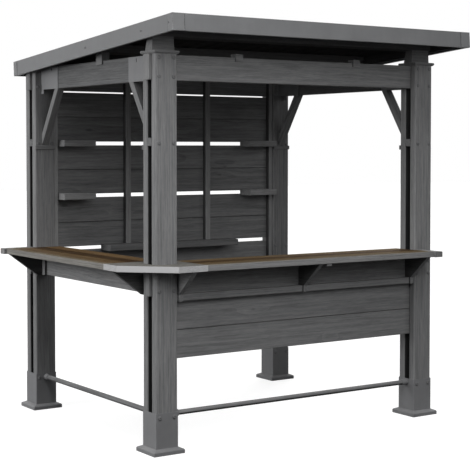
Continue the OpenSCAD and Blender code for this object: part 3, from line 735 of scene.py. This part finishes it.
# Wear this strong on a wide edge lights every arris of the corner angles: a painted highlight
highlightedCapPaint = dict(
    coverPaint,
    dark=paint(0.14, 0.142, 0.145),
    light=paint(0.165, 0.167, 0.171),
    wear=2.0,
    edge=0.006,
)
sheetPaint = dict(
    coverPaint,
    dark=paint(0.037, 0.0375, 0.039),
    light=paint(0.055, 0.056, 0.058),
    runTone=paint(0.03, 0.03, 0.031),
    bare=paint(0.09, 0.09, 0.092),
    dustTone=paint(0.07, 0.068, 0.065),
    rough=0.75,
    gloss=0.0,
)
screwPaint = dict(
    coverPaint,
    dark=paint(0.115, 0.115, 0.117),
    light=paint(0.14, 0.14, 0.143),
    bare=grey(0.22),
    edge=0.0008,
)

# Steps of the boards, in metres, that can't be read from a node's box
boardSteps = {
    "postMargin": 0.1,
    "postWidth": 1.2,
    "postFoot": -1.0,
    "postLength": 9.0,
    "panelJoint": 0.6895,
    "panelHeight": 0.21,
    "looseStart": -9.0,
    "looseHeight": 0.53,
    "crossDepth": 0.41,
    "sideWidth": 0.43,
    "battenWidth": 0.31,
    "battenDepth": 1.0,
    "plankGap": 0.004,
    "plankCount": 3,
    "braceRun": 0.242,  # along the beam, from a brace's foot to its head
}

# Where the boards of the posts, walls, beams and uprights part, for the tone of each board
postNames = ("post_front_left", "post_front_right", "post_back_left", "post_back_right")
postLow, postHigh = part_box("post_front_left")
backLow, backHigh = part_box("post_back_right")
postMid = (postLow + postHigh) / 2
backMid = (backLow + backHigh) / 2
halfDepth = (backMid.y - postMid.y) / 2
postBoards = {
    "origin": (postLow.x - boardSteps["postMargin"], postMid.y, boardSteps["postFoot"]),
    "pitch": (boardSteps["postWidth"], halfDepth, boardSteps["postLength"]),
}
wallLow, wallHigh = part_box("wall_panel_lower")
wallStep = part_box("wall_panel_middle")[0].z - wallLow.z
wallGap = wallStep - (wallHigh.z - wallLow.z)
wallBoards = {
    "origin": (farSide, farSide, wallLow.z - wallGap / 2),
    "pitch": (wholeLength, wholeLength, wallStep / 2),
}
panelBoards = {
    "origin": (farSide, farSide, boardSteps["panelJoint"]),
    "pitch": (wholeLength, wholeLength, boardSteps["panelHeight"]),
}
looseStart = boardSteps["looseStart"]
crossBoards = {
    "origin": (farSide, looseStart, looseStart),
    "pitch": (wholeLength, boardSteps["crossDepth"], boardSteps["looseHeight"]),
}
sideBoards = {
    "origin": (looseStart, farSide, looseStart),
    "pitch": (boardSteps["sideWidth"], wholeLength, boardSteps["looseHeight"]),
}
battenBoards = {
    "origin": (looseStart, looseStart, farSide),
    "pitch": (boardSteps["battenWidth"], boardSteps["battenDepth"], wholeLength),
}

# Planks of the counters, from the outer edge inwards
frontPlankLow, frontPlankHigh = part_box("front_counter_planks")
leftPlankLow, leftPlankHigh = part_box("left_counter_planks")
plankGap, plankCount = boardSteps["plankGap"], boardSteps["plankCount"]
frontPitch = (frontPlankHigh.y - frontPlankLow.y + plankGap) / plankCount
leftPitch = (leftPlankHigh.x - leftPlankLow.x + plankGap) / plankCount
frontPlanks = {
    "origin": (farSide, frontPlankLow.y - plankGap / 2, farSide),
    "pitch": (wholeLength, frontPitch, wholeLength),
    "across": "Y",
    "tints": [paint(0.82, 0.84, 0.78), paint(0.32, 0.26, 0.19), paint(0.86, 0.86, 0.8)],
}
leftPlanks = {
    "origin": (leftPlankLow.x - plankGap / 2, farSide, farSide),
    "pitch": (leftPitch, wholeLength, wholeLength),
    "across": "X",
    "tints": [paint(0.72, 0.68, 0.57), paint(0.32, 0.25, 0.17), paint(1.0, 0.92, 0.8)],
}

# Front brackets from left to right, tinted on their sides only: the left one lighter, a painted highlight
# where light falls from the side, and the others darker, painted shade
bracketLow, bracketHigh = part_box("front_counter_brackets")
bracketPitch = (bracketHigh.x - bracketLow.x) / 2
frontBracketLightAndShade = {
    "origin": (bracketLow.x - bracketPitch / 2, farSide, farSide),
    "pitch": (bracketPitch, wholeLength, wholeLength),
    "across": "X",
    "tints": [grey(1.3), grey(0.45), grey(0.4)],
    "endAxis": grainAxis["X"],
    "ends": 0.0,
}

# Knee braces, with the grain up their slope
braceLow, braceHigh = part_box("left_knee_braces")
braceLean = math.atan2(braceHigh.z - braceLow.z, boardSteps["braceRun"])
braceGrain = {"fold": (braceLow.y + braceHigh.y) / 2, "turn": (braceLean, 0.0, -quarterTurn)}

# The slots between the two boards of each post, and the painted shade on the faces inside them
postSlots = {
    "middle": (postMid.y + backMid.y) / 2,
    "half": halfDepth,
    "reach": 0.0225,
    "fade": 0.001,
    "amount": 0.9,
}

# The joints where the roof's corner angles end on the fascias, with dark lines that are partly painted
# shade
capLow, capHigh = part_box("fascia_corners")
capMid = (capLow + capHigh) / 2
capPoints = [vertex.co for vertex in nodes["fascia_corners"].data.vertices]
fasciaSeamsAndShade = {
    "lines": {
        "X": {
            "middle": capMid.x, "half": min(abs(point.x - capMid.x) for point in capPoints), "amount": 0.95,
        },
        "Y": {
            "middle": capMid.y, "half": min(abs(point.y - capMid.y) for point in capPoints), "amount": 0.5,
        },
    },
    "reach": 0.007,
}

timberLooks = {
    "stainX": dict(greyStain, along="X", **crossBoards),
    "stainY": dict(greyStain, along="Y", **sideBoards),
    "stainZ": dict(greyStain, along="Z"),
    "shadedBeamStain": dict(shadedBeamStain, along="Y", **sideBoards),
    "postStain": dict(postStain, along="Z", slot=postSlots, **postBoards),
    # The bars are painted darker on their undersides: painted shade
    "frontBar": dict(greyStain, along="X", under=0.9),
    "leftBar": dict(greyStain, along="Y", under=0.4),
    "bracketX": dict(shadedBracketStain, along="X"),
    "bracketY": dict(greyStain, along="Y", **frontBracketLightAndShade),
    "braceStain": dict(greyStain, along="Y", **braceGrain),
    "wallStain": dict(wallStain, along="X", **wallBoards),
    "shelfStain": dict(shelfStain, along="X", **crossBoards),
    "cornerShelf": dict(cornerShelfStain, along="X", **crossBoards),
    "battenStainAndShade": dict(battenStainAndShade, along="Z", **battenBoards),
    "panelStain": dict(panelStain, along="X", **panelBoards),
    "frontBorder": dict(frontBorderStain, along="X"),
    "leftBorder": dict(leftBorderStain, along="Y"),
    "borderY": dict(borderStain, along="Y"),
    "cornerStainLitAndShaded": dict(cornerStainLitAndShaded, along="XY"),
    "plankX": dict(plankStain, along="X", **frontPlanks),
    "plankY": dict(plankStain, along="Y", **leftPlanks),
    "roofStainX": dict(railStain, along="X"),
    "roofStainY": dict(roofStain, along="Y"),
}
metalLooks = {
    "coverPaint": coverPaint,
    "roofPaint": dict(roofPaint, seamsAndShade=fasciaSeamsAndShade),
    "highlightedCapPaint": highlightedCapPaint,
    "sheetPaint": sheetPaint,
    "screwPaint": screwPaint,
}
finishes = {name: makeTimber(name, look) for name, look in timberLooks.items()}
finishes.update({name: makeMetal(name, look) for name, look in metalLooks.items()})
print("finishes made,", len(finishes))


def dress(piece, finish):
    piece.data.materials.clear()
    piece.data.materials.append(finishes[finish])


nodeFinish = {
    "stainX": (
        "front_beam", "back_beam", "front_rail", "back_rail", "front_ledge", "brace_seats", "beam_clips",
        "post_caps", "roof_risers", "post_spacers",
    ),
    "stainY": ("left_rail", "counter_joint"),
    "stainZ": ("beam_end_blocks", "roof_struts", "left_rail_cleats"),
    "shadedBeamStain": ("left_beam", "right_beam"),
    "postStain": postNames,
    "frontBar": ("front_footrest",),
    "leftBar": ("left_footrest",),
    "bracketX": ("left_counter_brackets",),
    "bracketY": ("front_counter_brackets",),
    "braceStain": ("left_knee_braces", "right_knee_braces"),
    "wallStain": ("wall_panel_lower", "wall_panel_middle", "wall_panel_upper"),
    "shelfStain": ("long_shelf",),
    "cornerShelf": ("corner_shelves",),
    "battenStainAndShade": ("wall_battens",),
    "panelStain": ("front_panel",),
    "frontBorder": ("front_counter_edge",),
    "leftBorder": ("left_counter_edge",),
    "borderY": ("counter_ends",),
    "cornerStainLitAndShaded": ("counter_corner",),
    "plankX": ("front_counter_planks",),
    "plankY": ("left_counter_planks",),
    "roofStainX": ("roof_rails",),
    "roofStainY": ("roof_rafters",),
    "coverPaint": ("post_shoes", "post_plinths", "beam_end_plates", "footrest_sockets"),
    "roofPaint": ("front_fascia", "back_fascia", "left_fascia", "right_fascia"),
    "highlightedCapPaint": ("fascia_corners",),
    "sheetPaint": ("roof_sheet",),
}
for finish, names in nodeFinish.items():
    for name in names:
        dress(nodes[name], finish)
print("nodes dressed")


# Modelling helpers
upFacing = 0.9
upward = Vector((0, 0, 1))
frontward = Vector((0, -1, 0))
backward = Vector((0, 1, 0))


def startEdit(piece):
    bpy.context.view_layer.objects.active = piece
    bpy.ops.object.mode_set(mode="EDIT")
    bpy.ops.mesh.select_mode(type="FACE")


def pickTop(piece):
    mesh = bmesh.from_edit_mesh(piece.data)
    for face in mesh.faces:
        face.select_set(face.normal.z > upFacing)
    mesh.select_flush_mode()
    bmesh.update_edit_mesh(piece.data)


def endEdit():
    bpy.ops.object.mode_set(mode="OBJECT")


# A short round or six-sided block with its foot at a height
def addBlock(sides, radius, rise, foot=0.0):
    clearSelection()
    middle = (0, 0, foot + rise / 2)
    bpy.ops.mesh.primitive_cylinder_add(vertices=sides, radius=radius, depth=rise, location=middle)
    return bpy.context.object


def applyPlace():
    bpy.ops.object.transform_apply(location=True, rotation=True, scale=True)


# Domed screw head with a driver recess, standing on the plane z = 0
def modelDomeScrew(setup):
    radius = setup["radius"]
    screw = addBlock(setup["sides"], radius, setup["rise"])
    applyPlace()
    startEdit(screw)
    pickTop(screw)
    bpy.ops.mesh.inset(thickness=radius * setup["shoulder"])
    bpy.ops.transform.translate(value=(0, 0, setup["crown"]))
    bpy.ops.mesh.inset(thickness=radius * setup["land"])
    bpy.ops.mesh.extrude_region_move(TRANSFORM_OT_translate={"value": (0, 0, -setup["recess"])})
    endEdit()
    return screw


# Hexagon head on a round washer, both with a sloped rim, standing on the plane z = 0
def modelHexScrew(setup):
    blocks = []
    foot = 0.0
    for layer in ("washer", "head"):
        sides, radius, rise = setup[layer]
        block = addBlock(sides, radius, rise, foot)
        startEdit(block)
        pickTop(block)
        bpy.ops.mesh.inset(thickness=radius * setup["slope"])
        bpy.ops.transform.translate(value=(0, 0, setup["crown"]))
        endEdit()
        blocks.append(block)
        foot += rise + setup["crown"]
    washer, head = blocks
    washer.select_set(True)
    bpy.ops.object.join()
    applyPlace()
    return head


# Copies of one screw at a list of places, each facing outwards, joined as one piece
def spreadScrews(screw, name, places, finish):
    copies = []
    for place, outward in places:
        copy = screw.copy()
        copy.data = screw.data.copy()
        turn = upward.rotation_difference(outward).to_matrix().to_4x4()
        copy.data.transform(Matrix.Translation(place) @ turn)
        bpy.context.scene.collection.objects.link(copy)
        copies.append(copy)
    clearSelection()
    for copy in copies:
        copy.select_set(True)
    bpy.context.view_layer.objects.active = copies[0]
    bpy.ops.object.join()
    piece = bpy.context.object
    piece.name = name
    dress(piece, finish)
    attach(piece, "root")


# Screws of the posts: rows at the beams, packing blocks and rails, and at the shoes
postScrews = {
    "sides": 12,
    "radius": 0.0125,
    "rise": 0.0028,
    "shoulder": 0.36,
    "crown": 0.0026,
    "land": 0.36,
    "recess": 0.002,
    "fromSide": 0.0225,
    "beamRows": (0.018, 0.124),
    "blockRow": 0.017,
    "railRows": (0.028, 0.11),
    "shoeRow": 0.028,
    "touch": 0.001,
}


# Both faces of every post, without the places that a left bracket covers
def postScrewPlaces(setup):
    rows = [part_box("front_beam")[0].z + rise for rise in setup["beamRows"]]
    rows.append(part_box("post_spacers")[0].z + setup["blockRow"])
    rows += [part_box("front_rail")[0].z + rise for rise in setup["railRows"]]
    coverLow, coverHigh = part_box("left_counter_brackets")
    touch = setup["touch"]
    places = []
    for name in postNames:
        low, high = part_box(name)
        for x in (low.x + setup["fromSide"], high.x - setup["fromSide"]):
            for y, outward in ((low.y, frontward), (high.y, backward)):
                for z in rows:
                    covered = coverLow.x < x < coverHigh.x and coverLow.z < z < coverHigh.z
                    if not (covered and coverLow.y - touch < y < coverHigh.y + touch):
                        places.append((Vector((x, y, z)), outward))
    return places


def shoeScrewPlaces(setup):
    shoeLow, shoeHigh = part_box("post_shoes")
    wall = postLow.y - shoeLow.y
    z = shoeHigh.z - setup["shoeRow"]
    places = []
    for name in postNames:
        low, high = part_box(name)
        for x in (low.x + setup["fromSide"], high.x - setup["fromSide"]):
            places.append((Vector((x, low.y - wall, z)), frontward))
            places.append((Vector((x, high.y + wall, z)), backward))
    return places


domeScrew = modelDomeScrew(postScrews)
spreadScrews(domeScrew, "postScrews", postScrewPlaces(postScrews), "screwPaint")
spreadScrews(domeScrew, "shoeScrews", shoeScrewPlaces(postScrews), "screwPaint")
bpy.data.objects.remove(domeScrew)
print("post screws set")


# Screws of the roof: along the side fascias, and on the ribs over the rails
# The washer and the head are given by their sides, radius and rise
roofScrews = {
    "washer": (12, 0.008, 0.0012),
    "head": (6, 0.0048, 0.0036),
    "slope": 0.25,
    "crown": 0.0007,
    "alongSlope": (0.042, 0.341, 1.01),
    "underTop": 0.047,
    "rimSet": 0.022,
    "crownFlat": 0.0004,
    "sameLine": 1e-4,
    "digits": 5,
}


# The middle of each rib across X, the front end of a crown, and the ways down the slope and out of it
def findRibs(setup):
    points = [vertex.co.copy() for vertex in nodes["roof_sheet"].data.vertices]
    front = max(points, key=lambda point: point.z)
    crown = [point for point in points if abs(point.x - front.x) < setup["sameLine"]]
    back = max(crown, key=lambda point: (point - front).length)
    down = Vector((0, back.y - front.y, back.z - front.z)).normalized()
    outward = Vector((0, -down.z, down.y))
    level = front.dot(outward) - setup["crownFlat"]
    edges = sorted({round(point.x, setup["digits"]) for point in points if point.dot(outward) > level})
    middles = [(first + second) / 2 for first, second in zip(edges[0::2], edges[1::2])]
    return middles, front, down, outward


def roofScrewPlaces(setup):
    middles, front, down, outward = findRibs(setup)
    strutLow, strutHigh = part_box("roof_struts")
    sheetLow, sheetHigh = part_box("roof_sheet")
    rows = (
        sheetLow.y + setup["rimSet"],
        postMid.y,
        (strutLow.y + strutHigh.y) / 2,
        backMid.y,
        sheetHigh.y - setup["rimSet"],
    )
    places = []
    for x in middles:
        for y in rows:
            run = (y - front.y) / down.y
            places.append((Vector((x, front.y, front.z)) + down * run, outward))
    return places


def fasciaScrewPlaces(setup):
    down, outward = findRibs(setup)[2:]
    places = []
    for name, side in (("left_fascia", -1), ("right_fascia", 1)):
        low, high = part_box(name)
        corner = max((vertex.co for vertex in nodes[name].data.vertices), key=lambda point: point.z)
        x = low.x if side < 0 else high.x
        for run in setup["alongSlope"]:
            place = Vector((x, corner.y, corner.z)) + down * run - outward * setup["underTop"]
            places.append((place, Vector((side, 0, 0))))
    return places


hexScrew = modelHexScrew(roofScrews)
spreadScrews(hexScrew, "roofScrews", roofScrewPlaces(roofScrews), "sheetPaint")
spreadScrews(hexScrew, "fasciaScrews", fasciaScrewPlaces(roofScrews), "screwPaint")
bpy.data.objects.remove(hexScrew)
print("roof screws set")
